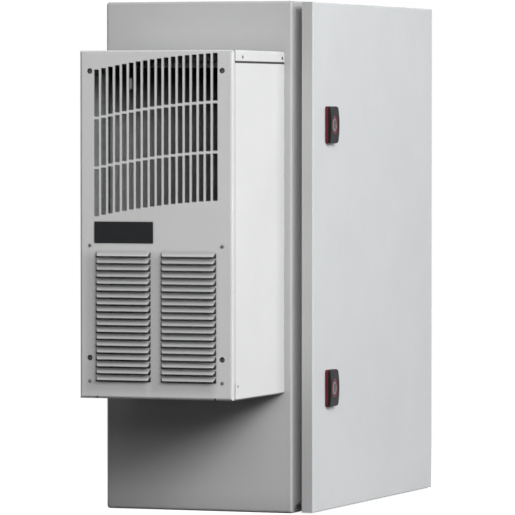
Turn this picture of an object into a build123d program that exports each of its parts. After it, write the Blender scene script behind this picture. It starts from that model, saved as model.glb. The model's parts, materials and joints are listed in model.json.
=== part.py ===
import os
from math import cos, radians, sin, sqrt

from build123d import *

os.makedirs("parts", exist_ok=True)

# Enclosure: X runs from the back panel to the door, Y from the cooling unit's wall
# to the hinge wall, Z up from the floor.
enclosure_depth = 463.2
enclosure_width = 777.0
enclosure_height = 1067.0
wall = 2.0
corner_bend = 6.0
rim_width = 26.0
rim_stub = 4.0
rim_bend = 4.0
wall_bolt_inset = 38.0
wall_bolt_radius = 5.5

# Door, with its foam gasket
door_depth = 24.9
door_gap = 21.6
door_side_inset = 1.0
door_end_inset = 2.5
door_bend = 2.5
gasket_width = 16.0
gasket_height = 12.0
gasket_clear = 0.3
strip_gap = 0.4

# Hinges in the gap beside the far edge of the door
hinge_end_set = 160.0
hinge_length = 60.0
knuckle_radius = 4.0
pin_radius = 2.5
pin_clear = 0.1
knuckle_gap = 1.0
hinge_back_set = 4.0
hinge_side_set = 6.5
leaf = 3.0

# Quarter-turn latches
latch_edge = 99.5
latch_end_set = 257.9
latch_width = 50.0
latch_height = 77.5
latch_corner = 6.5
latch_base_height = 6.5
latch_cap_side = 4.8
latch_crown = 3.0
latch_cap_round = 4.5
latch_ring_radius = 19.5
latch_ring_drop = 0.9
lock_radius = 13.5
lock_drop = 0.8
lock_tail = 8.0
insert_radius = 10.0
insert_drop = 1.0
key_slot_length = 13.6
key_slot_width = 3.4
key_slot_depth = 4.0
turn_clear = 0.1
seat_clear = 0.3
nut_radius = 19.0
nut_height = 6.0
cam_width = 20.0
cam_corner = 4.0
cam_sheet = 3.0
cam_overlap = 11.0
cam_clear = 5.0

# Cooling unit on the enclosure's side wall, hung a set drop below the enclosure's top
unit_width = 335.2
unit_height = 711.0
unit_depth = 302.5
unit_drop = 105.5
unit_shift = 1.0
unit_sheet = 1.5
cover_depth = 13.0
cover_bend = 6.0
cover_seam = 0.6
cover_relief = 2.5
cover_relief_depth = 4.5
lid_flange = 22.5
lid_bend = 4.0
lid_seam = 3.5
tongue_lap = 22.0
pan_height = 20.0
pan_drop = 2.0
bulkhead_depth = 166.0
flange_depth = 5.0
flange_width = 29.0
flange_clear = 0.5
weep_inset = 38.5
weep_width = 2.6
weep_height = 4.5

# Arched grille: slots of one size stepped along an arc
slot_columns = 18
slot_rows = 3
slot_width = 9.5
slot_height = 95.3
slot_pitch = 15.28
row_pitch = 101.6
arch_radius = 1730.0
arch_apex_x = 216.0
arch_apex_drop = 4.5

# Louvre banks: lanced flaps that open downwards
louvre_rows = 19
louvre_pitch = 14.08
louvre_length = 119.0
louvre_centre_x = 71.5
louvre_first_lip = 291.2
louvre_flap = 10.3
louvre_angle = 35.5
louvre_opening = 11.0
louvre_end_width = 3.0
louvre_end_rise = 8.0
flap_side_clear = 0.5
flap_root = 0.8

# Holes, name plate and air openings of the cooling unit
access_radius = 5.2
access_inset = 22.8
access_upper = 669.0
access_lower = 83.0
plate_width = 128.4
plate_height = 43.2
plate_sheet = 1.0
plate_centre_x = -70.3
plate_centre_z = 339.7
air_width = 250.0
air_height = 100.0
return_height = 570.0
supply_height = 140.0
coil_side_room = 17.6
coil_depth = 44.0
coil_low = 370.0
coil_high = 676.0
coil_end = 2.0
coil_end_margin = 5.0
coil_flange_clear = 2.5
bulkhead_side_gap = 0.5

x_back = -enclosure_depth / 2
x_face = enclosure_depth / 2
x_door_back = x_face - door_depth
x_door_inner = x_face - wall
x_flange = x_door_back - door_gap
x_wall_end = x_flange - corner_bend - rim_stub
x_lip = x_door_inner - gasket_height - gasket_clear
half_width = enclosure_width / 2
half_height = enclosure_height / 2
y_front = -half_width - unit_depth
y_panel = y_front + cover_depth + cover_seam
unit_half = unit_width / 2
unit_top = enclosure_height - unit_drop
unit_lift = unit_top - unit_height
unit_middle = unit_lift + unit_height / 2
lid_low = unit_top - lid_flange

pieces = {}


def inner_flat(bend, sheet):
    """Leg of the chamfer that keeps the sheet's thickness on the inside of a bend."""
    return (bend - sheet) * (2 - sqrt(2))


# Welded body: one rounded shell, parted into its panels where the bends begin
with BuildPart() as hollow:
    with Locations(((x_back + wall + x_wall_end) / 2, 0, half_height)):
        Box(x_wall_end - x_back - wall, enclosure_width - 2 * wall, enclosure_height - 2 * wall)
    inner_bends = hollow.edges().filter_by_position(Axis.X, x_back, x_wall_end - wall)
    chamfer(inner_bends, inner_flat(corner_bend, wall))

with BuildPart() as shell:
    with Locations(((x_back + x_wall_end) / 2, 0, half_height)):
        Box(x_wall_end - x_back, enclosure_width, enclosure_height)
    fillet(shell.edges().filter_by_position(Axis.X, x_back, x_wall_end - wall), corner_bend)
    add(hollow.part, mode=Mode.SUBTRACT)

over_bend = Plane.XY.offset(enclosure_height - corner_bend)
under_bend = Plane.XY.offset(corner_bend)

with BuildPart() as top_panel:
    add(shell.part)
    split(bisect_by=over_bend, keep=Keep.TOP)
pieces["top_panel"] = top_panel

with BuildPart() as bottom_panel:
    add(shell.part)
    split(bisect_by=under_bend, keep=Keep.BOTTOM)
pieces["bottom_panel"] = bottom_panel

with BuildPart() as back_panel:
    add(shell.part)
    split(bisect_by=over_bend, keep=Keep.BOTTOM)
    split(bisect_by=under_bend, keep=Keep.TOP)
    split(bisect_by=Plane.YZ.offset(x_back + corner_bend), keep=Keep.BOTTOM)
    with BuildSketch(Plane.YZ.offset(x_back)):
        with Locations((0, half_height)):
            with GridLocations(
                enclosure_width - 2 * wall_bolt_inset,
                enclosure_height - 2 * wall_bolt_inset,
                2,
                2,
            ):
                Circle(wall_bolt_radius)
    extrude(amount=2 * wall, both=True, mode=Mode.SUBTRACT)
pieces["back_panel"] = back_panel


def flat_wall(y_outer, inward):
    """A flat side wall between the bends of the back, top and bottom panels."""
    length = x_wall_end - x_back - corner_bend
    with BuildPart() as piece:
        with Locations(((x_wall_end + x_back + corner_bend) / 2, y_outer + inward * wall / 2, half_height)):
            Box(length, wall, enclosure_height - 2 * corner_bend)
    return piece


air_places = [(unit_shift, unit_lift + return_height), (unit_shift, unit_lift + supply_height)]
with BuildPart() as unit_side_wall:
    add(flat_wall(-half_width, 1).part)
    with BuildSketch(Plane.XZ.offset(half_width)):
        with Locations(*air_places):
            Rectangle(air_width, air_height)
    extrude(amount=2 * wall, both=True, mode=Mode.SUBTRACT)
pieces["unit_side_wall"] = unit_side_wall
pieces["far_side_wall"] = flat_wall(half_width, -1)

# Front rim: the wall's edge is folded inwards to a flange, and a lip stands forward
# of it to meet the door gasket. The ring is mitred into its four sides.
lip_outer_y = enclosure_width - 2 * (rim_width - wall)
lip_outer_z = enclosure_height - 2 * (rim_width - wall)
with BuildPart() as rim_ring:
    with BuildSketch(Plane.YZ.offset(x_wall_end)):
        with Locations((0, half_height)):
            RectangleRounded(enclosure_width, enclosure_height, corner_bend)
    extrude(amount=x_flange - x_wall_end)
    fillet(rim_ring.faces().sort_by(Axis.X)[-1].edges(), rim_bend)
    with BuildSketch(Plane.YZ.offset(x_wall_end)):
        with Locations((0, half_height)):
            hollow_corners = Rectangle(enclosure_width - 2 * wall, enclosure_height - 2 * wall).vertices()
        chamfer(hollow_corners, inner_flat(corner_bend, wall))
    extrude(amount=x_flange - wall - x_wall_end, mode=Mode.SUBTRACT)
    with BuildSketch(Plane.YZ.offset(x_flange - wall)):
        with Locations((0, half_height)):
            Rectangle(lip_outer_y, lip_outer_z)
    extrude(amount=x_lip - x_flange + wall)
    with BuildSketch(Plane.YZ.offset(x_flange - wall)):
        with Locations((0, half_height)):
            Rectangle(lip_outer_y - 2 * wall, lip_outer_z - 2 * wall)
    extrude(amount=x_lip - x_flange + wall, mode=Mode.SUBTRACT)


def rim_side(mitres):
    """One side of the rim, kept between the mitre planes at its ends."""
    with BuildPart() as piece:
        add(rim_ring.part)
        for corner, normal in mitres:
            split(bisect_by=Plane(origin=corner, z_dir=normal), keep=Keep.TOP)
    return piece


low_near = (0, -half_width, 0)
low_far = (0, half_width, 0)
high_near = (0, -half_width, enclosure_height)
high_far = (0, half_width, enclosure_height)
pieces["rim_top"] = rim_side([(high_near, (0, 1, 1)), (high_far, (0, -1, 1))])
pieces["rim_bottom"] = rim_side([(low_near, (0, 1, -1)), (low_far, (0, -1, -1))])
pieces["rim_unit_side"] = rim_side([(high_near, (0, -1, -1)), (low_near, (0, -1, 1))])
pieces["rim_hinge_side"] = rim_side([(high_far, (0, 1, -1)), (low_far, (0, 1, 1))])

# Door pan, with the holes that the lock bodies pass through
latch_y = -half_width + latch_edge
latch_levels = {"upper": enclosure_height - latch_end_set, "lower": latch_end_set}
door_width = enclosure_width - 2 * door_side_inset
door_height = enclosure_height - 2 * door_end_inset
with BuildPart() as door_panel:
    with Locations((x_face - door_depth / 2, 0, half_height)):
        Box(door_depth, door_width, door_height)
    fillet(door_panel.faces().sort_by(Axis.X)[-1].edges(), door_bend)
    with Locations((x_door_inner - (door_depth - wall) / 2, 0, half_height)):
        Box(door_depth - wall, door_width - 2 * wall, door_height - 2 * wall, mode=Mode.SUBTRACT)
    with BuildSketch(Plane.YZ.offset(x_face)):
        with Locations(*[(latch_y, z) for z in latch_levels.values()]):
            Circle(lock_radius + seat_clear)
    extrude(amount=-2 * wall, mode=Mode.SUBTRACT)
pieces["door_panel"] = door_panel

# Gasket strips centred on the rim's lip
strip_centre = rim_width - wall / 2
strip_span_y = enclosure_width - 2 * strip_centre
strip_span_z = enclosure_height - 2 * strip_centre
with BuildPart() as door_gasket:
    with BuildSketch(Plane.YZ.offset(x_door_inner - gasket_height)):
        with Locations((0, half_height)):
            with GridLocations(strip_span_y, 0, 2, 1):
                Rectangle(gasket_width, strip_span_z + gasket_width)
            with GridLocations(0, strip_span_z, 1, 2):
                Rectangle(strip_span_y - gasket_width - 2 * strip_gap, gasket_width)
    extrude(amount=gasket_height)
pieces["door_gasket"] = door_gasket

# Lift-off hinges: a leaf on the rim carries a knuckle with the pin standing in it, and
# a leaf on the door carries the knuckle that turns on the pin
hinge_x = x_door_back - hinge_back_set
hinge_y = half_width - hinge_side_set
hinge_levels = [hinge_end_set, enclosure_height - hinge_end_set]
knuckle = (hinge_length - knuckle_gap) / 2
knuckle_shift = (knuckle + knuckle_gap) / 2
strap_y = hinge_y - knuckle_radius + leaf / 2

with BuildPart() as hinge_body_leaves:
    for level in hinge_levels:
        with BuildSketch(Plane.XY.offset(level - knuckle_shift)):
            with Locations((hinge_x, hinge_y)):
                Circle(knuckle_radius)
            with Locations(((x_flange + hinge_x) / 2, strap_y)):
                Rectangle(hinge_x - x_flange, leaf)
            with Locations((x_flange, strap_y + leaf / 2)):
                Rectangle(leaf, rim_width / 2, align=(Align.MIN, Align.MAX))
        extrude(amount=knuckle / 2, both=True)
        with BuildSketch(Plane.XY.offset(level - knuckle_shift)):
            with Locations((hinge_x, hinge_y)):
                Circle(pin_radius)
        extrude(amount=2 * knuckle_shift + knuckle / 2)
pieces["hinge_body_leaves"] = hinge_body_leaves

with BuildPart() as hinge_door_leaves:
    for level in hinge_levels:
        with BuildSketch(Plane.XY.offset(level + knuckle_shift)):
            with Locations((hinge_x, hinge_y)):
                Circle(knuckle_radius)
            with Locations(((x_door_inner + hinge_x) / 2, strap_y)):
                Rectangle(x_door_inner - hinge_x, leaf)
            with Locations((hinge_x, hinge_y)):
                Circle(pin_radius + pin_clear, mode=Mode.SUBTRACT)
        extrude(amount=knuckle / 2, both=True)
pieces["hinge_door_leaves"] = hinge_door_leaves

# Latches: a red base with a ring boss, a crowned cap over it, a lock barrel held
# through the door by a nut, and an insert that turns the cam behind the rim.
x_cap = x_face + latch_base_height
x_crown = x_cap + latch_cap_side + latch_crown
x_ring = x_crown - latch_ring_drop
x_lock_face = x_ring - lock_drop
x_insert_face = x_lock_face - insert_drop
x_lock_end = x_door_inner - lock_tail
x_cam = x_flange - wall - cam_clear - cam_sheet
cam_reach = latch_edge - rim_width + cam_overlap


def latch_base(level):
    with BuildPart() as piece:
        with BuildSketch(Plane.YZ.offset(x_face)):
            with Locations((latch_y, level)):
                RectangleRounded(latch_width, latch_height, latch_corner)
        extrude(amount=latch_base_height)
        with BuildSketch(Plane.YZ.offset(x_face)):
            with Locations((latch_y, level)):
                Circle(latch_ring_radius)
        extrude(amount=x_ring - x_face)
        with BuildSketch(Plane.YZ.offset(x_face)):
            with Locations((latch_y, level)):
                Circle(lock_radius + seat_clear)
        extrude(amount=x_ring - x_face, mode=Mode.SUBTRACT)
    return piece


def latch_cap(level):
    with BuildPart() as piece:
        with BuildSketch(Plane.XZ.offset(-latch_y)):
            with BuildLine():
                foot = Polyline(
                    (x_cap + latch_cap_side, level - latch_height / 2),
                    (x_cap, level - latch_height / 2),
                    (x_cap, level + latch_height / 2),
                    (x_cap + latch_cap_side, level + latch_height / 2),
                )
                ThreePointArc(foot @ 1, (x_crown, level), foot @ 0)
            profile = make_face()
            fillet(profile.vertices().sort_by(Axis.X)[-2:], latch_cap_round)
        extrude(amount=latch_width / 2, both=True)
        with BuildSketch(Plane.YZ.offset(x_cap)):
            with Locations((latch_y, level)):
                RectangleRounded(latch_width, latch_height, latch_corner)
        extrude(amount=x_crown - x_cap, mode=Mode.INTERSECT)
        with BuildSketch(Plane.YZ.offset(x_cap)):
            with Locations((latch_y, level)):
                Circle(latch_ring_radius + seat_clear)
        extrude(amount=x_crown - x_cap, mode=Mode.SUBTRACT)
    return piece


def lock_body(level):
    with BuildPart() as piece:
        with BuildSketch(Plane.YZ.offset(x_lock_end)):
            with Locations((latch_y, level)):
                Circle(lock_radius)
                Circle(insert_radius + turn_clear, mode=Mode.SUBTRACT)
        extrude(amount=x_lock_face - x_lock_end)
    return piece


def lock_insert(level):
    with BuildPart() as piece:
        with BuildSketch(Plane.YZ.offset(x_cam + cam_sheet)):
            with Locations((latch_y, level)):
                Circle(insert_radius)
        extrude(amount=x_insert_face - x_cam - cam_sheet)
        with BuildSketch(Plane.YZ.offset(x_insert_face)):
            with Locations((latch_y, level)):
                Rectangle(key_slot_width, key_slot_length)
        extrude(amount=-key_slot_depth, mode=Mode.SUBTRACT)
    return piece


def lock_cam(level):
    with BuildPart() as piece:
        with BuildSketch(Plane.YZ.offset(x_cam)):
            with Locations((latch_y, level)):
                Circle(cam_width / 2)
                Rectangle(cam_width, cam_reach, align=(Align.CENTER, Align.MAX))
        extrude(amount=cam_sheet)
        tip = piece.edges().filter_by(Axis.X).sort_by(Axis.Z)[:2]
        chamfer(tip, cam_corner)
    return piece


for place, level in latch_levels.items():
    pieces[place + "_latch_base"] = latch_base(level)
    pieces[place + "_latch_cap"] = latch_cap(level)
    pieces[place + "_lock_body"] = lock_body(level)
    pieces[place + "_lock_insert"] = lock_insert(level)
    pieces[place + "_lock_cam"] = lock_cam(level)

with BuildPart() as lock_nuts:
    with BuildSketch(Plane.YZ.offset(x_door_inner - nut_height)):
        with Locations(*[(latch_y, z) for z in latch_levels.values()]):
            RegularPolygon(nut_radius, 6)
            Circle(lock_radius + seat_clear, mode=Mode.SUBTRACT)
    extrude(amount=nut_height)
pieces["lock_nuts"] = lock_nuts

# Cooling unit: front cover as a shallow pan, its slots stepped along the arch and
# its louvres lanced out of the same sheet
slot_places = []
for column in range(slot_columns):
    x = (column - (slot_columns - 1) / 2) * slot_pitch
    sag = arch_radius - sqrt(arch_radius**2 - (arch_apex_x - x) ** 2)
    for row in range(slot_rows):
        z = unit_top - arch_apex_drop - sag - row * row_pitch - slot_height / 2
        slot_places.append((unit_shift + x, z))

flap_drop = louvre_flap * cos(radians(louvre_angle))
flap_normal = (0, -cos(radians(louvre_angle)), sin(radians(louvre_angle)))
louvre_tops = []
for row in range(louvre_rows):
    for bank in (-1, 1):
        z = unit_lift + louvre_first_lip - row * louvre_pitch + flap_drop
        louvre_tops.append((unit_shift + bank * louvre_centre_x, z))

front_plane = Plane.XZ.offset(-y_front)
cover_back_plane = Plane.XZ.offset(-y_front - cover_depth)
with BuildPart() as cover_hollow:
    with BuildSketch(cover_back_plane):
        with Locations((unit_shift, unit_middle)):
            Rectangle(unit_width - 2 * unit_sheet, unit_height - 2 * unit_sheet)
    extrude(amount=cover_depth - unit_sheet)
    chamfer(cover_hollow.faces().sort_by(Axis.Y)[0].edges(), inner_flat(cover_bend, unit_sheet))

with BuildPart() as unit_front_cover:
    with BuildSketch(cover_back_plane):
        with Locations((unit_shift, unit_middle)):
            Rectangle(unit_width, unit_height)
    extrude(amount=cover_depth)
    fillet(unit_front_cover.faces().sort_by(Axis.Y)[0].edges(), cover_bend)
    add(cover_hollow.part, mode=Mode.SUBTRACT)
    with BuildSketch(front_plane):
        with Locations(*slot_places):
            Rectangle(slot_width, slot_height)
        with Locations(*louvre_tops):
            Rectangle(louvre_length, louvre_opening, align=(Align.CENTER, Align.MAX))
        for side in (-1, 1):
            x = unit_shift + side * (unit_half - access_inset)
            with Locations((x, unit_lift + access_upper), (x, unit_lift + access_lower)):
                Circle(access_radius)
    extrude(amount=-2 * unit_sheet, mode=Mode.SUBTRACT)
    flap_half = louvre_length / 2 - flap_side_clear
    flap_planes = [Plane((x, y_front, z), x_dir=(1, 0, 0), z_dir=flap_normal) for x, z in louvre_tops]
    with BuildSketch(*flap_planes):
        with BuildLine():
            Polyline(
                (-flap_half, flap_root),
                (flap_half, flap_root),
                (flap_half, louvre_end_rise - louvre_flap),
                (flap_half - louvre_end_width, -louvre_flap),
                (louvre_end_width - flap_half, -louvre_flap),
                (-flap_half, louvre_end_rise - louvre_flap),
                close=True,
            )
        make_face()
    extrude(amount=-unit_sheet)
    with BuildSketch(front_plane):
        for side in (-1, 1):
            with Locations((unit_shift + side * (unit_half - weep_inset), unit_lift)):
                Rectangle(weep_width, weep_height, align=(Align.CENTER, Align.MIN))
    extrude(amount=-cover_bend, mode=Mode.SUBTRACT)
    with BuildSketch(cover_back_plane):
        with Locations((unit_shift, unit_middle)):
            with GridLocations(unit_width - cover_relief, unit_height - cover_relief, 2, 2):
                Rectangle(cover_relief, cover_relief)
    extrude(amount=cover_relief_depth, mode=Mode.SUBTRACT)
pieces["unit_front_cover"] = unit_front_cover

# Lid: a pan turned over, with a flange down each of its four sides
with BuildPart() as lid_hollow:
    lid_length = -half_width - y_panel
    with Locations((unit_shift, y_panel + lid_length / 2, unit_top - (lid_flange + unit_sheet) / 2)):
        Box(unit_width - 2 * unit_sheet, lid_length - 2 * unit_sheet, lid_flange - unit_sheet)
    chamfer(lid_hollow.faces().sort_by(Axis.Z)[-1].edges(), inner_flat(lid_bend, unit_sheet))

with BuildPart() as unit_top_lid:
    with Locations((unit_shift, y_panel + lid_length / 2, unit_top - lid_flange / 2)):
        Box(unit_width, lid_length, lid_flange)
    fillet(unit_top_lid.faces().sort_by(Axis.Z)[-1].edges(), lid_bend)
    add(lid_hollow.part, mode=Mode.SUBTRACT)
pieces["unit_top_lid"] = unit_top_lid

# Side panels: a tongue stands up inside the lid's flange, and the front edge is set in
# behind the cover and folded to the flange that the cover is screwed to
flange_y = y_front + flange_depth
flange_top = lid_low - lid_seam
flange_side = unit_sheet + flange_clear
with BuildPart() as unit_right_side:
    side_height = unit_height - lid_flange - lid_seam - pan_drop
    with BuildSketch(Plane.XZ.offset(-y_panel)):
        with Locations((unit_shift + unit_half, unit_lift + pan_drop)):
            Rectangle(unit_sheet, side_height, align=(Align.MAX, Align.MIN))
    extrude(amount=half_width + y_panel)
    with BuildSketch(Plane.XZ.offset(-y_panel - unit_sheet - flange_clear)):
        with Locations((unit_shift + unit_half - unit_sheet, lid_low - lid_seam - tongue_lap)):
            Rectangle(unit_sheet, 2 * tongue_lap - lid_bend, align=(Align.MAX, Align.MIN))
    extrude(amount=half_width + lid_bend + y_panel + unit_sheet + flange_clear)
    with BuildSketch(Plane.XY.offset(unit_lift + pan_height)):
        with Locations((unit_shift + unit_half - flange_side, flange_y)):
            Rectangle(unit_sheet, y_panel + 2 * flange_depth - flange_y, align=(Align.MAX, Align.MIN))
            Rectangle(flange_width - flange_side, unit_sheet, align=(Align.MAX, Align.MIN))
        with Locations((unit_shift + unit_half - unit_sheet, y_panel + flange_depth)):
            Rectangle(unit_sheet + flange_clear, flange_depth, align=(Align.MAX, Align.MIN))
    extrude(amount=flange_top - unit_lift - pan_height)
pieces["unit_right_side"] = unit_right_side

with BuildPart() as unit_left_side:
    add(unit_right_side.part)
    mirror(about=Plane.YZ.offset(unit_shift), mode=Mode.REPLACE)
pieces["unit_left_side"] = unit_left_side

with BuildPart() as unit_base_pan:
    pan_width = unit_width - 2 * unit_sheet
    pan_length = -half_width - unit_sheet - y_panel
    with Locations((unit_shift, y_panel + pan_length / 2, unit_lift + pan_height / 2)):
        Box(pan_width, pan_length, pan_height)
    fillet(unit_base_pan.faces().sort_by(Axis.Z)[0].edges(), pan_drop)
    with Locations((unit_shift, y_panel + pan_length / 2, unit_lift + (pan_height + unit_sheet) / 2)):
        Box(
            pan_width - 2 * unit_sheet,
            pan_length - 2 * unit_sheet,
            pan_height - unit_sheet,
            mode=Mode.SUBTRACT,
        )
pieces["unit_base_pan"] = unit_base_pan

with BuildPart() as unit_back_panel:
    with BuildSketch(Plane.XZ.offset(half_width)):
        with Locations((unit_shift, unit_lift + pan_drop)):
            Rectangle(
                unit_width - 2 * unit_sheet,
                unit_height - pan_drop - lid_flange,
                align=(Align.CENTER, Align.MIN),
            )
        with Locations(*air_places):
            Rectangle(air_width, air_height, mode=Mode.SUBTRACT)
    extrude(amount=unit_sheet)
pieces["unit_back_panel"] = unit_back_panel

bulkhead_plane = Plane.XZ.offset(-y_front - bulkhead_depth)
with BuildPart() as unit_bulkhead:
    with BuildSketch(bulkhead_plane):
        with Locations((unit_shift, unit_lift + unit_sheet)):
            Rectangle(
                unit_width - 4 * unit_sheet - 2 * bulkhead_side_gap,
                unit_height - unit_sheet - lid_flange - lid_seam,
                align=(Align.CENTER, Align.MIN),
            )
    extrude(amount=-unit_sheet)
pieces["unit_bulkhead"] = unit_bulkhead

coil_width = unit_width - 2 * coil_side_room
with BuildPart() as condenser_coil:
    coil_middle = unit_lift + (coil_low + coil_high) / 2
    coil_height = coil_high - coil_low
    with BuildSketch(bulkhead_plane):
        with Locations((unit_shift, coil_middle)):
            Rectangle(coil_width, coil_height)
    extrude(amount=coil_depth)
    with BuildSketch(bulkhead_plane):
        with Locations((unit_shift, coil_middle)):
            with GridLocations(coil_width + coil_end, 0, 2, 1):
                Rectangle(coil_end, coil_height)
    extrude(amount=coil_depth + coil_end_margin)
    coil_flange = unit_half - unit_sheet - coil_flange_clear - coil_width / 2
    with BuildSketch(bulkhead_plane.offset(coil_depth + coil_end_margin)):
        with Locations((unit_shift, coil_middle)):
            with GridLocations(coil_width + coil_flange, 0, 2, 1):
                Rectangle(coil_flange, coil_height)
    extrude(amount=-coil_end)
pieces["condenser_coil"] = condenser_coil

with BuildPart() as name_plate:
    with BuildSketch(front_plane):
        with Locations((unit_shift + plate_centre_x, unit_lift + plate_centre_z)):
            Rectangle(plate_width, plate_height)
    extrude(amount=plate_sheet)
pieces["name_plate"] = name_plate

for name, piece in pieces.items():
    piece.part.label = name
    export_step(piece.part, f"parts/{name}.step")
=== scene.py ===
import json
import math

import bmesh
import bpy
from mathutils import Matrix, Vector


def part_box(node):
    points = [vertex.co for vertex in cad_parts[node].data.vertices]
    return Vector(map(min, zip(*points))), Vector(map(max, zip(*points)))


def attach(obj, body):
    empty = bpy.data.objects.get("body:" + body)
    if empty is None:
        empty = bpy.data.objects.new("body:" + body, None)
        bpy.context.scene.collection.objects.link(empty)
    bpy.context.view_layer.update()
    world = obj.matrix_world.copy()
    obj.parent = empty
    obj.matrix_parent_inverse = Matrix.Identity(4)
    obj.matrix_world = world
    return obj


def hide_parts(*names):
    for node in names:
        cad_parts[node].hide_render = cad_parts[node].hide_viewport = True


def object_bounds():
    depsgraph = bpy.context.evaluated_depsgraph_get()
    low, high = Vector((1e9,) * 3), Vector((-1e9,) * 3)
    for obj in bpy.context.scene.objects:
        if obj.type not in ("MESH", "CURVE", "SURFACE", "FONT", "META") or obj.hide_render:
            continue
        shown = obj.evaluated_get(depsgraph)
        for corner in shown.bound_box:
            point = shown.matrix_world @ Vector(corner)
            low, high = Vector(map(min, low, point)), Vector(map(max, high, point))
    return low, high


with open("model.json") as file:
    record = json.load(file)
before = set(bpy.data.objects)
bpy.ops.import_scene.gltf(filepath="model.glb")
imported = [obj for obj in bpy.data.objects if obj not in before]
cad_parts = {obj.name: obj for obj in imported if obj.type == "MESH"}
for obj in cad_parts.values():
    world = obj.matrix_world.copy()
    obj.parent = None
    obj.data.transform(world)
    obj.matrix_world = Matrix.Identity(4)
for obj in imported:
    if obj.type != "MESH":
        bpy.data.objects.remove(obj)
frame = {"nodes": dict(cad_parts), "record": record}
cad_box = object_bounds()

MM = 0.001
WHITE = (1.0, 1.0, 1.0)

# Camera
CAMERA_YAW = math.radians(20.569)
CAMERA_PITCH = math.radians(1.64)
CAMERA_DISTANCE = 10.0389
CAMERA_LENS = 347.45
CAMERA_AIM = Vector((0.22229, -0.691, 0.54207))
SENSOR_WIDTH = 36.0
VIEW_REACH = 200.0

# Stage
FLOOR_REACH = 40.0
FLOOR_DROP = 0.2 * MM
LAMP_DISTANCE = 7.0
AMBIENT = 0.08

# Louvre banks, from the middle and the underside of the cooling unit
BANK_SHIFT = 71.5 * MM
BANK_RISE = 168.7 * MM
BANK_HALF_WIDTH = 59.5 * MM
BANK_HALF_HEIGHT = 130.9 * MM

# Sheet and coil
PAINT_EDGE = 0.6 * MM
LID_SEAM = 3.5 * MM
COIL_SPAN = 300 * MM
FIN_SETBACK = 5 * MM
SMOOTH_ANGLE = math.radians(35.0)


# Node helpers

def new_tree(name):
    """A material with an empty node tree and its output."""
    material = bpy.data.materials.new(name)
    material.use_nodes = True
    tree = material.node_tree
    tree.nodes.clear()
    output = tree.nodes.new("ShaderNodeOutputMaterial")
    return material, tree, output


def add(tree, kind, **values):
    """A node with its named sockets set; an underscore stands for a space."""
    node = tree.nodes.new(kind)
    for key, value in values.items():
        socket = node.inputs[key.replace("_", " ")]
        if isinstance(value, bpy.types.NodeSocket):
            tree.links.new(value, socket)
        else:
            socket.default_value = value
    return node


def object_coords(tree):
    """Object coordinates in metres."""
    return tree.nodes.new("ShaderNodeTexCoord").outputs["Object"]


def coordinate(tree, coords, axis):
    """One of the three coordinates."""
    return add(tree, "ShaderNodeSeparateXYZ", Vector=coords).outputs[axis]


def noise(tree, coords, per_metre, detail=3.0, rough=0.55):
    """Noise with so many cells to the metre."""
    values = {"Scale": per_metre, "Detail": detail, "Roughness": rough}
    return add(tree, "ShaderNodeTexNoise", Vector=coords, **values).outputs["Fac"]


def spread(tree, factor, low, high, start=0.3, end=0.7):
    """A factor mapped to a range of values."""
    values = {"From_Min": start, "From_Max": end, "To_Min": low, "To_Max": high}
    return add(tree, "ShaderNodeMapRange", Value=factor, **values).outputs["Result"]


def blend_colours(tree, factor, first, second, start=0.3, end=0.7):
    """Two colours blended by a factor."""
    node = add(tree, "ShaderNodeValToRGB", Fac=factor)
    node.color_ramp.elements[0].position = start
    node.color_ramp.elements[0].color = (*first, 1.0)
    node.color_ramp.elements[1].position = end
    node.color_ramp.elements[1].color = (*second, 1.0)
    return node.outputs["Color"]


def grey_tint(tree, factor, darkest, start=0.0, end=1.0):
    """A grey that lightens to white as a factor rises."""
    return blend_colours(tree, factor, (darkest, darkest, darkest), WHITE, start, end)


def scaled(colour, factor):
    """A colour made lighter or darker."""
    return tuple(channel * factor for channel in colour)


def multiplied(tree, first, second):
    """One colour tinted by another."""
    node = tree.nodes.new("ShaderNodeMix")
    node.data_type = "RGBA"
    node.blend_type = "MULTIPLY"
    node.inputs["Factor"].default_value = 1.0
    tree.links.new(first, node.inputs[6])
    tree.links.new(second, node.inputs[7])
    return node.outputs[2]


def vector_math(tree, operation, first, second=None):
    """One step of vector arithmetic."""
    node = tree.nodes.new("ShaderNodeVectorMath")
    node.operation = operation
    tree.links.new(first, node.inputs[0])
    if second is not None:
        node.inputs[1].default_value = second
    return node


def box_distance(tree, coords, centre, half, fold=0.0):
    """How far a point lies outside a box, or outside two boxes mirrored about the centre."""
    moved = vector_math(tree, "SUBTRACT", coords, centre)
    folded = vector_math(tree, "ABSOLUTE", moved.outputs[0])
    if fold:
        bank = vector_math(tree, "SUBTRACT", folded.outputs[0], (fold, 0.0, 0.0))
        folded = vector_math(tree, "ABSOLUTE", bank.outputs[0])
    beyond = vector_math(tree, "SUBTRACT", folded.outputs[0], half)
    outside = vector_math(tree, "MAXIMUM", beyond.outputs[0], (0.0, 0.0, 0.0))
    return vector_math(tree, "LENGTH", outside.outputs[0]).outputs["Value"]


def soft_edges(tree, radius):
    """A normal that rounds the sharp edges of sheet and plastic."""
    node = add(tree, "ShaderNodeBevel", Radius=radius)
    node.samples = 4
    return node.outputs["Normal"]


def bump(tree, height, strength, distance, normal=None):
    """A bump from a height."""
    node = add(tree, "ShaderNodeBump", Height=height, Strength=strength, Distance=distance)
    if normal is not None:
        tree.links.new(normal, node.inputs["Normal"])
    return node.outputs["Normal"]


def finish_surface(tree, output, **values):
    """A principled surface with its sockets set, joined to the output."""
    shader = add(tree, "ShaderNodeBsdfPrincipled", **values)
    tree.links.new(shader.outputs["BSDF"], output.inputs["Surface"])


def mix_shaders(tree, factor, first, second):
    """Two shaders blended by a factor."""
    node = tree.nodes.new("ShaderNodeMixShader")
    for socket, source in zip(node.inputs, (factor, first, second)):
        tree.links.new(source, socket)
    return node.outputs[0]


# Places

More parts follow.
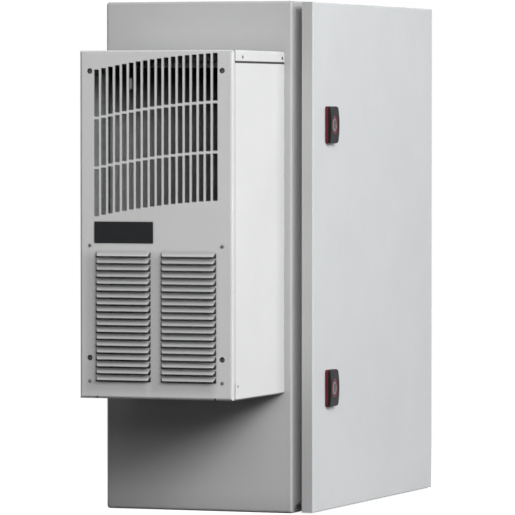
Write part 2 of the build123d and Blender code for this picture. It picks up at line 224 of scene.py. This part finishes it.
def unit_box():
    """The cooling unit's case: corners without the louvre lips."""
    low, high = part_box("unit_front_cover")
    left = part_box("unit_left_side")[0].x
    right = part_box("unit_right_side")[1].x
    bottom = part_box("unit_base_pan")[0].z
    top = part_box("unit_top_lid")[1].z
    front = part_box("name_plate")[1].y
    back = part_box("unit_back_panel")[1].y
    return Vector((left, front, min(bottom, low.z))), Vector((right, back, max(top, high.z)))


# Tints, tuned to the photo's tones: painted shade and painted shadow that stand in for shade the lamps
# don't give, and darker cut edges on the sheet

def painted_bank_shadow(tree, coords, low, high):
    """Painted shadow round the two louvre banks, most beside and below them, as cast by the slats."""
    drift = 16 * MM
    reach = 22 * MM
    any_depth = 10.0
    centre = ((low.x + high.x) / 2 - drift, 0.0, low.z + BANK_RISE - drift)
    half = (BANK_HALF_WIDTH, any_depth, BANK_HALF_HEIGHT)
    distance = box_distance(tree, coords, centre, half, BANK_SHIFT)
    return grey_tint(tree, spread(tree, distance, 0.0, 1.0, 0.0, reach), 0.76)


def painted_inner_shade(tree, coords, low, high):
    """Painted shade on the inner faces of the case."""
    skin = Vector((1.2 * MM, 6 * MM, 1.2 * MM))
    step = 0.05 * MM
    distance = box_distance(tree, coords, (low + high) / 2, (high - low) / 2 - skin)
    return grey_tint(tree, spread(tree, distance, 0.0, 1.0, 0.0, step), 0.62)


def painted_crevice_shade(tree, reach, darkest, start=0.52, end=0.98, unshaded=0.0):
    """Painted shade where other metal stands within a reach, faded out where the unshaded factor
    rises.
    """
    node = add(tree, "ShaderNodeAmbientOcclusion", Distance=reach)
    node.samples = 6
    openness = spread(tree, unshaded, node.outputs["AO"], 1.0, 0.0, 1.0)
    return grey_tint(tree, openness, darkest, start, end)


def cut_edges(tree, reach, darkest):
    """Darker on the cut edges of the sheet."""
    node = add(tree, "ShaderNodeAmbientOcclusion", Distance=reach)
    node.inside = True
    node.samples = 6
    return grey_tint(tree, node.outputs["AO"], darkest, 0.68, 0.86)


def painted_slat_shadow(tree, coords, face, lip):
    """Painted shadow of each louvre lip on the slat below, darkest where the slat leaves the face and
    fading towards the lip.
    """
    rise = spread(tree, coordinate(tree, coords, "Y"), 0.0, 1.0, face, lip)
    tint = add(tree, "ShaderNodeValToRGB", Fac=rise)
    tint.color_ramp.elements[0].position = 0.01
    tint.color_ramp.elements[0].color = (*WHITE, 1.0)
    tint.color_ramp.elements[1].position = 1.0
    tint.color_ramp.elements[1].color = (0.98, 0.98, 0.98, 1.0)
    root = tint.color_ramp.elements.new(0.03)
    root.color = (0.74, 0.74, 0.74, 1.0)
    return tint.outputs["Color"]


def unit_tints(tree, coords):
    """Painted shade on the cooling unit: under the louvre slats, in its crevices but not at its rear
    edge, round the louvre banks and on its inner faces, with darker cut edges.
    """
    low, high = unit_box()
    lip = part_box("unit_front_cover")[0].y
    rear = spread(tree, coordinate(tree, coords, "Y"), 0.0, 1.0, high.y - 60 * MM, high.y - 40 * MM)
    return (
        painted_slat_shadow(tree, coords, low.y, lip),
        painted_crevice_shade(tree, 12 * MM, 0.13, unshaded=rear),
        cut_edges(tree, 1.4 * MM, 0.25),
        painted_bank_shadow(tree, coords, low, high),
        painted_inner_shade(tree, coords, low, high),
    )


def enclosure_tints(tree, coords):
    """Painted shade in the enclosure's corners, and on the rim's lip behind the door."""
    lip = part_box("rim_unit_side")[1].x
    depth = coordinate(tree, coords, "X")
    unshaded = spread(tree, depth, 1.0, 0.0, lip - 30 * MM, lip - 17 * MM)
    return painted_crevice_shade(tree, 45 * MM, 0.78, 0.35, 1.0), grey_tint(tree, unshaded, 0.55)


def door_tints(tree, coords):
    """Painted shade on the door's returns and back, which come out darker and greyer than its front.
    """
    front = frame["nodes"]["door_panel"].matrix_world.inverted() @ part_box("door_panel")[1]
    depth = coordinate(tree, coords, "X")
    outward = spread(tree, depth, 0.0, 1.0, front.x - 3 * MM, front.x - 0.5 * MM)
    return (blend_colours(tree, outward, (0.765, 0.748, 0.737), WHITE, 0.0, 1.0),)


# Materials

def powder_coat(name, colour, tints, rough=0.6):
    """Sheet metal under a fine orange-peel powder coat, with its tints."""
    material, tree, output = new_tree(name)
    coords = object_coords(tree)
    mottle = noise(tree, coords, 5.0, 4.0, 0.6)
    speckle = noise(tree, coords, 1400.0, 1.0)
    peel = noise(tree, coords, 420.0, 2.0)
    wear = noise(tree, coords, 23.0, 5.0, 0.6)
    base = blend_colours(tree, mottle, scaled(colour, 0.975), scaled(colour, 1.025))
    mixed = multiplied(tree, base, blend_colours(tree, speckle, scaled(WHITE, 0.955), WHITE))
    for tint in tints(tree, coords):
        mixed = multiplied(tree, mixed, tint)
    finish_surface(
        tree,
        output,
        Base_Color=mixed,
        Roughness=spread(tree, wear, rough - 0.05, rough + 0.06),
        Specular_IOR_Level=0.12,
        Normal=bump(tree, peel, 0.16, 0.12 * MM, soft_edges(tree, PAINT_EDGE)),
    )
    return material


def bare_metal(name, colour, rough, per_metre):
    """Zinc, die-cast or drawn metal with a grain."""
    material, tree, output = new_tree(name)
    coords = object_coords(tree)
    grain = noise(tree, coords, per_metre, 4.0, 0.6)
    fine = noise(tree, coords, per_metre * 7.0, 2.0)
    finish_surface(
        tree,
        output,
        Base_Color=blend_colours(tree, grain, scaled(colour, 0.88), scaled(colour, 1.12)),
        Metallic=1.0,
        Roughness=spread(tree, grain, rough - 0.07, rough + 0.08),
        Normal=bump(tree, fine, 0.2, 0.05 * MM, soft_edges(tree, 0.3 * MM)),
    )
    return material


def galvanised(name, colour):
    """Zinc-coated sheet with its spangle."""
    material, tree, output = new_tree(name)
    coords = object_coords(tree)
    cells = add(tree, "ShaderNodeTexVoronoi", Vector=coords, Scale=110.0).outputs["Color"]
    tone = add(tree, "ShaderNodeSeparateColor", Color=cells).outputs["Red"]
    cloud = noise(tree, coords, 9.0, 4.0)
    finish_surface(
        tree,
        output,
        Base_Color=blend_colours(tree, tone, scaled(colour, 0.84), scaled(colour, 1.1), 0.0, 1.0),
        Metallic=0.85,
        Roughness=spread(tree, tone, 0.36, 0.52, 0.0, 1.0),
        Normal=bump(tree, cloud, 0.1, 0.3 * MM, soft_edges(tree, 0.4 * MM)),
    )
    return material


def moulded(name, colour, rough, per_metre=900.0, strength=0.18, edge=0.4 * MM, shine=0.25):
    """Moulded plastic or satin enamel with a fine texture."""
    material, tree, output = new_tree(name)
    coords = object_coords(tree)
    texture = noise(tree, coords, per_metre, 2.0)
    cloud = noise(tree, coords, 60.0, 4.0)
    finish_surface(
        tree,
        output,
        Base_Color=blend_colours(tree, cloud, scaled(colour, 0.9), scaled(colour, 1.1)),
        Roughness=spread(tree, cloud, rough - 0.06, rough + 0.06),
        Specular_IOR_Level=shine,
        Normal=bump(tree, texture, strength, 0.08 * MM, soft_edges(tree, edge)),
    )
    return material


def coil_with_painted_light(name, colour, low, high):
    """Matt fin edges with painted shade towards the top and the right, and painted light at the lower
    left where light comes in through the grille.
    """
    material, tree, output = new_tree(name)
    coords = object_coords(tree)
    cloud = noise(tree, coords, 30.0, 4.0)
    dark_from = low.z + 0.6 * (high.z - low.z)
    dark_to = high.z - 26 * MM
    pale_from = low.x + 0.45 * (high.x - low.x)
    upward = spread(tree, coordinate(tree, coords, "Z"), 1.0, 0.0, dark_from, dark_to)
    across = spread(tree, coordinate(tree, coords, "X"), 1.0, 0.0, low.x, pale_from)
    sideways = blend_colours(tree, across, scaled(colour, 0.6), colour, 0.0, 1.0)
    finish_surface(
        tree,
        output,
        Base_Color=multiplied(tree, sideways, grey_tint(tree, upward, 0.15)),
        Roughness=spread(tree, cloud, 0.8, 0.95),
        Specular_IOR_Level=0.03,
        Normal=bump(tree, noise(tree, coords, 500.0, 2.0), 0.1, 0.08 * MM),
    )
    return material


def foam(name, colour):
    """Closed-cell foam with open pores on its skin."""
    material, tree, output = new_tree(name)
    coords = object_coords(tree)
    pores = add(tree, "ShaderNodeTexVoronoi", Vector=coords, Scale=900.0).outputs["Distance"]
    cloud = noise(tree, coords, 40.0, 3.0)
    finish_surface(
        tree,
        output,
        Base_Color=blend_colours(tree, cloud, scaled(colour, 0.7), scaled(colour, 1.3)),
        Roughness=spread(tree, cloud, 0.82, 0.95),
        Specular_IOR_Level=0.2,
        Normal=bump(tree, pores, 0.5, 0.4 * MM),
    )
    return material


def make_materials():
    """One material for each of the record's finishes."""
    return {
        "enclosure_paint": powder_coat("enclosure_paint", (0.472, 0.474, 0.474), enclosure_tints),
        # The door's colour is set paler than the body's: partly painted light on the door's front,
        # which door_tints takes off its returns and back.
        "door_paint": powder_coat("door_paint", (0.548, 0.560, 0.569), door_tints),
        "unit_paint": powder_coat("unit_paint", (0.636, 0.638, 0.638), unit_tints, 0.58),
        "galvanised": galvanised("galvanised", (0.56, 0.57, 0.58)),
        "dark_inner": galvanised("dark_inner", (0.34, 0.35, 0.36)),
        "coil_fins": coil_with_painted_light("coil_fins", (0.56, 0.56, 0.565), *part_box("condenser_coil")),
        "plate_black": moulded("plate_black", (0.017, 0.018, 0.02), 0.6, 1200.0, 0.1, shine=0.12),
        "foam_black": foam("foam_black", (0.05, 0.05, 0.052)),
        "zinc_steel": bare_metal("zinc_steel", (0.60, 0.61, 0.63), 0.34, 220.0),
        "latch_red": moulded("latch_red", (0.088, 0.009, 0.014), 0.5, edge=0.8 * MM, shine=0.2),
        "latch_black": moulded("latch_black", (0.010, 0.010, 0.011), 0.5, edge=1.6 * MM, shine=0.1),
        "lock_metal": bare_metal("lock_metal", (0.26, 0.215, 0.222), 0.42, 260.0),
        "insert_metal": bare_metal("insert_metal", (0.14, 0.14, 0.136), 0.42, 260.0),
    }


# Mesh helpers

def make_piece(name, mesh_data, slot_name, body):
    """A mesh object with a record finish that rides on a body."""
    mesh = bpy.data.meshes.new(name)
    bmesh.ops.recalc_face_normals(mesh_data, faces=mesh_data.faces)
    mesh_data.to_mesh(mesh)
    mesh_data.free()
    for polygon in mesh.polygons:
        polygon.use_smooth = True
    mesh.set_sharp_from_angle(angle=SMOOTH_ANGLE)
    piece = bpy.data.objects.new(name, mesh)
    bpy.context.scene.collection.objects.link(piece)
    mesh.materials.append(materials[slot_name])
    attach(piece, body)
    return piece


def facing(point, direction, roll):
    """A place at a point whose own Z looks along a direction."""
    turn = Vector(direction).to_track_quat("Z", "Y").to_matrix().to_4x4()
    return Matrix.Translation(Vector(point)) @ turn @ Matrix.Rotation(roll, 4, "Z")


def add_block(mesh_data, low, high):
    """A rectangular bar or sheet between two corners."""
    corners = []
    for index in range(8):
        corner = Vector(high[axis] if index >> axis & 1 else low[axis] for axis in range(3))
        corners.append(mesh_data.verts.new(corner))
    for ring in ((0, 2, 3, 1), (4, 5, 7, 6), (0, 1, 5, 4), (2, 6, 7, 3), (0, 4, 6, 2), (1, 3, 7, 5)):
        mesh_data.faces.new([corners[index] for index in ring])


def add_strip(mesh_data, face, way, depths, along, upward):
    """A block at a side face: depths run inwards, along runs to the rear."""
    across = sorted(face + way * depth for depth in depths)
    add_block(mesh_data, (across[0], along[0], upward[0]), (across[1], along[1], upward[1]))


def add_lathe(mesh_data, profile, place, steps):
    """A turned form: (radius, height) points about its own Z."""
    rings = []
    for radius, height in profile:
        count = 1 if radius == 0 else steps
        ring = []
        for step in range(count):
            angle = 2 * math.pi * step / steps
            point = Vector((radius * math.cos(angle), radius * math.sin(angle), height))
            ring.append(mesh_data.verts.new(place @ point))
        rings.append(ring)
    for first, second in zip(rings, rings[1:]):
        for step in range(steps):
            corners = [first[step % len(first)], first[(step + 1) % len(first)]]
            corners += [second[(step + 1) % len(second)], second[step % len(second)]]
            mesh_data.faces.new(list(dict.fromkeys(corners)))


def add_tube(mesh_data, points, radius, steps=12):
    """A round tube along a path."""
    rings = []
    for index, point in enumerate(points):
        before = points[max(index - 1, 0)]
        after = points[min(index + 1, len(points) - 1)]
        turn = (after - before).to_track_quat("Z", "X").to_matrix()
        ring = []
        for step in range(steps):
            angle = 2 * math.pi * step / steps
            offset = Vector((radius * math.cos(angle), radius * math.sin(angle), 0.0))
            ring.append(mesh_data.verts.new(point + turn @ offset))
        rings.append(ring)
    for first, second in zip(rings, rings[1:]):
        for step in range(steps):
            other = (step + 1) % steps
            mesh_data.faces.new((first[step], first[other], second[other], second[step]))
    mesh_data.faces.new(rings[0])
    mesh_data.faces.new(rings[-1])


# Coil pieces

def make_fin_pack(low, high):
    """Fins in the place of the plain coil."""
    pitch = 1.4 * MM
    thick = 0.45 * MM
    middle = (low.x + high.x) / 2
    count = int(COIL_SPAN / pitch)
    fins = bmesh.new()
    for index in range(count):
        x = middle + (index - (count - 1) / 2) * pitch
        add_block(fins, (x - thick / 2, low.y + FIN_SETBACK, low.z), (x + thick / 2, high.y, high.z))
    pack = make_piece("coil_fin_pack", fins, "coil_fins", "enclosure")
    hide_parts("condenser_coil")


def make_end_plates(low, high):
    """A plate at each end of the fins, with a flange out to the coil's edge."""
    sheet = 2 * MM
    middle = (low.x + high.x) / 2
    plates = bmesh.new()
    for side, end in ((-1, low.x), (1, high.x)):
        inner = middle + side * COIL_SPAN / 2
        outer = inner + side * sheet
        add_block(plates, (min(inner, outer), low.y, low.z), (max(inner, outer), high.y, high.z))
        add_block(plates, (min(inner, end), low.y, low.z), (max(inner, end), low.y + sheet, high.z))
    make_piece("coil_end_plates", plates, "dark_inner", "enclosure")


def make_coil_angles(low, high):
    """Angle strips that hold the coil's flanges to the side panels."""
    sheet = 1.2 * MM
    lap = 8 * MM
    side_sheet = 1.8 * MM
    front = low.y - 0.1 * MM
    fold = front - sheet
    angles = bmesh.new()
    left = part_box("unit_left_side")[0].x + side_sheet
    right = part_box("unit_right_side")[1].x - side_sheet
    for wall, end, way in ((left, low.x, 1), (right, high.x, -1)):
        edge = end + way * lap
        leg = wall + way * sheet
        add_block(angles, (min(wall, edge), fold, low.z), (max(wall, edge), front, high.z))
        add_block(angles, (min(wall, leg), fold - lap, low.z), (max(wall, leg), fold, high.z))
    make_piece("coil_angles", angles, "dark_inner", "enclosure")


def make_coil_tubes(low, high):
    """Two rows of tubes through the fins, out past the end plates."""
    rows = 10
    columns = (0.3, 0.75)
    radius = 4.8 * MM
    overhang = 4 * MM
    middle = (low.x + high.x) / 2
    step = (high.z - low.z) / rows
    tubes = bmesh.new()
    for row in range(rows):
        for column in columns:
            y = low.y + FIN_SETBACK + (high.y - low.y - FIN_SETBACK) * column
            z = low.z + (row + 0.5) * step
            ends = [Vector((middle + side * (COIL_SPAN / 2 + overhang), y, z)) for side in (-1, 1)]
            add_tube(tubes, ends, radius)
    make_piece("coil_tubes", tubes, "zinc_steel", "enclosure")


def make_sensor(low, high):
    """The coil's thermostat bulb, a capsule seen through the grille."""
    radius = 5.6 * MM
    half = 13.5 * MM
    from_left = 63.8 * MM
    from_top = 31.5 * MM
    arc_steps = 8
    profile = [(0, -half)]
    for step in range(1, arc_steps + 1):
        angle = math.pi / 2 * step / arc_steps
        profile.append((radius * math.sin(angle), -half + radius * (1 - math.cos(angle))))
    profile += [(ring, -height) for ring, height in reversed(profile)]
    bulb = bmesh.new()
    place = Matrix.Translation((low.x + from_left, low.y - radius, high.z - from_top))
    add_lathe(bulb, profile, place, 24)
    make_piece("coil_sensor_bulb", bulb, "dark_inner", "enclosure")


def make_coil():
    """Everything seen of the coil through the grille."""
    low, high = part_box("condenser_coil")
    make_fin_pack(low, high)
    make_end_plates(low, high)
    make_coil_angles(low, high)
    make_coil_tubes(low, high)
    make_sensor(low, high)


# Case pieces

def make_rim_cove():
    """The rolled inside corner of the front rim, from its flange to its lip, clear of the hinges."""
    sheet = 2 * MM
    reach = 16 * MM
    clear = 0.05 * MM
    fold = 10 * MM
    hinge_room = 30 * MM
    steps = 10
    low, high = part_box("rim_unit_side")
    flange = low.x + fold
    near = high.y - sheet
    hinge_end = -near - hinge_room
    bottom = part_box("rim_bottom")[1].z - sheet
    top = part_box("rim_top")[0].z + sheet
    profile = [(clear, clear)]
    for step in range(steps + 1):
        angle = math.pi / 2 * step / steps
        profile.append((clear + reach * (1 - math.sin(angle)), clear + reach * (1 - math.cos(angle))))
    cove = bmesh.new()
    rings = []
    for out, rise in profile:
        lower = ((hinge_end, bottom - out), (near - out, bottom - out))
        upper = ((near - out, top + out), (hinge_end, top + out))
        rings.append([cove.verts.new((flange + rise, y, z)) for y, z in lower + upper])
    for first, second in zip(rings, rings[1:] + rings[:1]):
        for start in range(3):
            cove.faces.new((first[start], first[start + 1], second[start + 1], second[start]))
    for end in (0, 3):
        cove.faces.new([ring[end] for ring in rings])
    make_piece("rim_cove", cove, "enclosure_paint", "enclosure")


def add_side_shade_strips(strips, face, way, low, high):
    """Black foam strips on one side of the case that stand for the shade in its gaps: under the lid,
    behind the cover and in its corners.
    """
    lid_low, lid_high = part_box("unit_top_lid")
    cover_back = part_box("unit_front_cover")[1].y
    slack = 0.1 * MM
    end_room = 1.5 * MM
    inner = 1.4 * MM
    proud = -0.15 * MM
    corner = 2.4 * MM
    foot = (low.z + 1 * MM, low.z + 35 * MM)
    head = (lid_low.z - LID_SEAM, high.z - 2 * MM)
    under_lid = (lid_low.z - LID_SEAM + slack, lid_low.z - slack)
    lid_run = (lid_low.y + end_room, lid_high.y - end_room)
    joint = (lid_low.y - end_room, lid_low.y + 0.9 * MM)
    relief = (cover_back - 4.4 * MM, cover_back - slack)
    add_strip(strips, face, way, (0.5 * MM, inner), lid_run, under_lid)
    add_strip(strips, face, way, (proud, inner), joint, head)
    add_strip(strips, face, way, (proud, inner), joint, foot)
    for top in (high.z - slack, low.z + corner):
        add_strip(strips, face, way, (slack, corner), relief, (top - corner + slack, top))


def make_shade_strips():
    """Black foam strips that stand for the shade in the seam under the lid, beside the cover's return
    and on the lid's front flange behind the grille.
    """
    low, high = unit_box()
    lid_low, lid_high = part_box("unit_top_lid")
    inset = 24 * MM
    thick = 1.5 * MM
    strips = bmesh.new()
    for face, way in ((high.x, -1), (low.x, 1)):
        add_side_shade_strips(strips, face, way, low, high)
    add_block(
        strips,
        (lid_low.x + inset, lid_low.y - thick, lid_low.z + 1 * MM),
        (lid_high.x - inset, lid_low.y, lid_high.z - 5 * MM),
    )
    make_piece("case_shade_strips", strips, "foam_black", "enclosure")


def add_screw(mesh_data, point, direction, radius, height):
    """A pan-head screw with a rounded rim and a six-sided socket."""
    head = ((1.0, 0.0), (1.0, 0.35), (0.93, 0.68), (0.74, 0.9), (0.45, 1.0))
    socket = ((0.45, 1.0), (0.40, 0.9), (0.38, 0.25), (0, 0.2))
    place = facing(point, direction, roll=0.2)
    for shape, steps in ((head, 30), (socket, 6)):
        profile = [(radius * ring, height * level) for ring, level in shape]
        add_lathe(mesh_data, profile, place, steps)


def make_cover_screws(low, high):
    """Four small screws that hold the lower half of the cover."""
    inset = 22.8 * MM
    rises = (312.5 * MM, 35 * MM)
    cover = bmesh.new()
    for x in (low.x + inset, high.x - inset):
        for rise in rises:
            add_screw(cover, (x, low.y, low.z + rise), (0, -1, 0), 3.2 * MM, 1.5 * MM)
    make_piece("cover_screws", cover, "insert_metal", "enclosure")


def make_case_screws(low, high):
    """Two lid screws and one lower screw on each side."""
    lid_depths = (57 * MM, 289 * MM)
    lid_drop = 14 * MM
    foot_depth = 30 * MM
    foot_rise = 28 * MM
    sides = bmesh.new()
    for x, way in ((high.x, 1), (low.x, -1)):
        for depth in lid_depths:
            add_screw(sides, (x, low.y + depth, high.z - lid_drop), (way, 0, 0), 3.3 * MM, 1.3 * MM)
        add_screw(sides, (x, low.y + foot_depth, low.z + foot_rise), (way, 0, 0), 2.2 * MM, 1.0 * MM)
    make_piece("case_screws", sides, "insert_metal", "enclosure")


# Stage

def make_camera():
    """The camera from the fit to the photo."""
    forward = Vector((
        -math.sin(CAMERA_YAW) * math.cos(CAMERA_PITCH),
        math.cos(CAMERA_YAW) * math.cos(CAMERA_PITCH),
        -math.sin(CAMERA_PITCH),
    ))
    data = bpy.data.cameras.new("photo_camera")
    data.sensor_width = SENSOR_WIDTH
    data.lens = CAMERA_LENS
    data.clip_end = VIEW_REACH
    camera = bpy.data.objects.new("photo_camera", data)
    camera.location = CAMERA_AIM - forward * CAMERA_DISTANCE
    camera.rotation_euler = forward.to_track_quat("-Z", "Y").to_euler()
    bpy.context.scene.collection.objects.link(camera)
    bpy.context.scene.camera = camera


def make_lamp(name, azimuth, elevation, size, power):
    """A square soft box that looks at the middle of the object.

    Azimuth 0 is in front of the cooling unit and 90 in front of the door."""
    data = bpy.data.lights.new(name, "AREA")
    data.shape = "SQUARE"
    data.size = size
    data.energy = power
    lamp = bpy.data.objects.new(name, data)
    turn = math.radians(azimuth)
    rise = math.radians(elevation)
    away = Vector((math.sin(turn) * math.cos(rise), -math.cos(turn) * math.cos(rise), math.sin(rise)))
    lamp.location = (Vector(cad_box[0]) + Vector(cad_box[1])) / 2 + away * LAMP_DISTANCE
    lamp.rotation_euler = away.to_track_quat("Z", "Y").to_euler()
    bpy.context.scene.collection.objects.link(lamp)


def seen_directly(tree):
    """One where a ray comes from the camera, a reflection or a clear material."""
    path = tree.nodes.new("ShaderNodeLightPath")
    seen = path.outputs["Is Camera Ray"]
    for kind in ("Is Glossy Ray", "Is Transmission Ray"):
        either = tree.nodes.new("ShaderNodeMath")
        either.operation = "MAXIMUM"
        tree.links.new(seen, either.inputs[0])
        tree.links.new(path.outputs[kind], either.inputs[1])
        seen = either.outputs[0]
    return seen


def make_world():
    """White to the eye, a weak even light on the object."""
    world = bpy.data.worlds.new("studio")
    bpy.context.scene.world = world
    world.use_nodes = True
    tree = world.node_tree
    tree.nodes.clear()
    light = add(tree, "ShaderNodeBackground", Color=(*WHITE, 1.0), Strength=AMBIENT)
    white = add(tree, "ShaderNodeBackground", Color=(*WHITE, 1.0), Strength=1.0)
    mixed = mix_shaders(tree, seen_directly(tree), light.outputs[0], white.outputs[0])
    output = tree.nodes.new("ShaderNodeOutputWorld")
    tree.links.new(mixed, output.inputs["Surface"])


def floor_material():
    """Pale floor that keeps a faint shadow near the object, fades to white and throws little light."""
    fade_start = 0.6
    fade_end = 1.6
    glow_near = 0.84
    bounce_grey = (0.05, 0.05, 0.05, 1.0)
    material, tree, output = new_tree("studio_floor")
    coords = object_coords(tree)
    distance = vector_math(tree, "LENGTH", coords).outputs["Value"]
    fade = spread(tree, distance, 0.0, 1.0, fade_start, fade_end)
    grain = noise(tree, coords, 60.0, 3.0)
    tone = blend_colours(tree, grain, (0.44, 0.44, 0.44), (0.46, 0.46, 0.46))
    near = add(tree, "ShaderNodeBsdfDiffuse", Color=tone)
    glow = add(tree, "ShaderNodeEmission", Color=(*WHITE, 1.0), Strength=glow_near)
    far = add(tree, "ShaderNodeEmission", Color=(*WHITE, 1.0), Strength=1.0)
    bounce = add(tree, "ShaderNodeBsdfDiffuse", Color=bounce_grey)
    lit = tree.nodes.new("ShaderNodeAddShader")
    tree.links.new(near.outputs[0], lit.inputs[0])
    tree.links.new(glow.outputs[0], lit.inputs[1])
    shown = mix_shaders(tree, fade, lit.outputs[0], far.outputs[0])
    final = mix_shaders(tree, seen_directly(tree), bounce.outputs[0], shown)
    tree.links.new(final, output.inputs["Surface"])
    return material


def make_floor():
    """A wide floor just under the object."""
    mesh_data = bmesh.new()
    corners = []
    for x, y in ((-1, -1), (1, -1), (1, 1), (-1, 1)):
        corners.append(mesh_data.verts.new((x * FLOOR_REACH, y * FLOOR_REACH, 0.0)))
    mesh_data.faces.new(corners)
    mesh = bpy.data.meshes.new("studio_floor")
    mesh_data.to_mesh(mesh)
    mesh_data.free()
    mesh.materials.append(floor_material())
    floor = bpy.data.objects.new("studio_floor", mesh)
    floor.location.z = cad_box[0][2] - FLOOR_DROP
    bpy.context.scene.collection.objects.link(floor)


def paint_nodes():
    """Each CAD node takes the material of its record finish."""
    for subpart in frame["record"]["subparts"]:
        node = frame["nodes"][subpart["node"]]
        for slot in node.material_slots:
            slot.material = materials[subpart["material_slot"]]


materials = make_materials()
paint_nodes()
make_coil()
make_rim_cove()
make_shade_strips()
make_cover_screws(*unit_box())
make_case_screws(*unit_box())

make_camera()
make_floor()
make_world()
make_lamp("key_lamp", azimuth=58, elevation=28, size=2.8, power=382.0)
make_lamp("fill_lamp", azimuth=33, elevation=26, size=4.4, power=252.0)
make_lamp("door_lamp", azimuth=113, elevation=12, size=4.4, power=174.0)
make_lamp("back_lamp", azimuth=205, elevation=30, size=4.0, power=245.0)
make_lamp("side_lamp", azimuth=262, elevation=22, size=4.0, power=170.0)
bpy.context.scene.view_settings.view_transform = "Standard"
